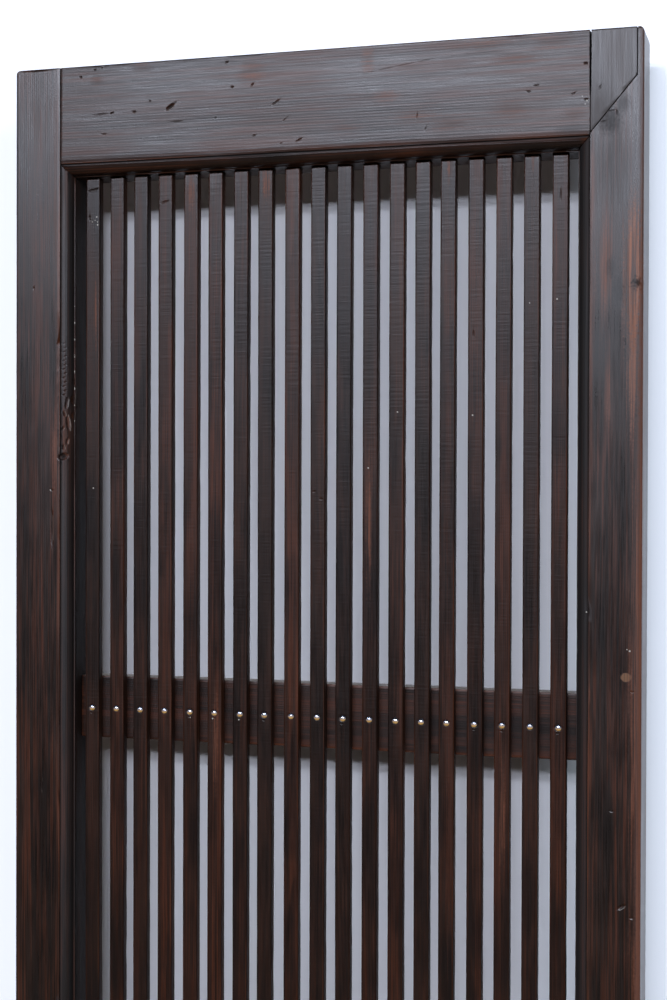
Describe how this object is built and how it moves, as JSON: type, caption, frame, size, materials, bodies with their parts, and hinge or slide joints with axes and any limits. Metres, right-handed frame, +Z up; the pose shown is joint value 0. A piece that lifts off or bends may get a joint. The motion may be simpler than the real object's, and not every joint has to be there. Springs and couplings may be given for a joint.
{
  "type": "lattice door",
  "caption": "Flat timber door leaf with a moulded frame and thin upright slats nailed to flat mid rails, stained dark brown.",
  "frame": {"origin": "middle of the underside of the leaf, at mid thickness", "axes": "+Z up along the stiles, +X to the right as seen from the front, the moulded front faces -Y"},
  "size_m": [0.6, 0.048, 1.77],
  "materials": {
    "frame_wood": "dark brown stain with a satin sheen, worn arrises, dents and reddish streaks",
    "slat_wood": "dark brown stain, satin, with darker and redder slats mixed",
    "patch_wood": "greyer let-in repair, smooth, thinly stained",
    "nail_metal": "bright domed nail heads"
  },
  "bodies": {
    "root": {"left_stile": "frame_wood", "right_stile": "frame_wood", "right_stile_patch": "patch_wood", "top_rail": "frame_wood", "bottom_rail": "frame_wood", "mid_rail_upper": "slat_wood", "mid_rail_lower": "slat_wood", "slat_01": "slat_wood", "slat_02": "slat_wood", "slat_03": "slat_wood", "slat_04": "slat_wood", "slat_05": "slat_wood", "slat_06": "slat_wood", "slat_07": "slat_wood", "slat_08": "slat_wood", "slat_09": "slat_wood", "slat_10": "slat_wood", "slat_11": "slat_wood", "slat_12": "slat_wood", "slat_13": "slat_wood", "slat_14": "slat_wood", "slat_15": "slat_wood", "slat_16": "slat_wood", "slat_17": "slat_wood", "slat_18": "slat_wood", "slat_19": "slat_wood", "nail_01": "nail_metal", "nail_02": "nail_metal", "nail_03": "nail_metal", "nail_04": "nail_metal", "nail_05": "nail_metal", "nail_06": "nail_metal", "nail_07": "nail_metal", "nail_08": "nail_metal", "nail_09": "nail_metal", "nail_10": "nail_metal", "nail_11": "nail_metal", "nail_12": "nail_metal", "nail_13": "nail_metal", "nail_14": "nail_metal", "nail_15": "nail_metal", "nail_16": "nail_metal", "nail_17": "nail_metal", "nail_18": "nail_metal", "nail_19": "nail_metal"}
  },
  "joints": []
}
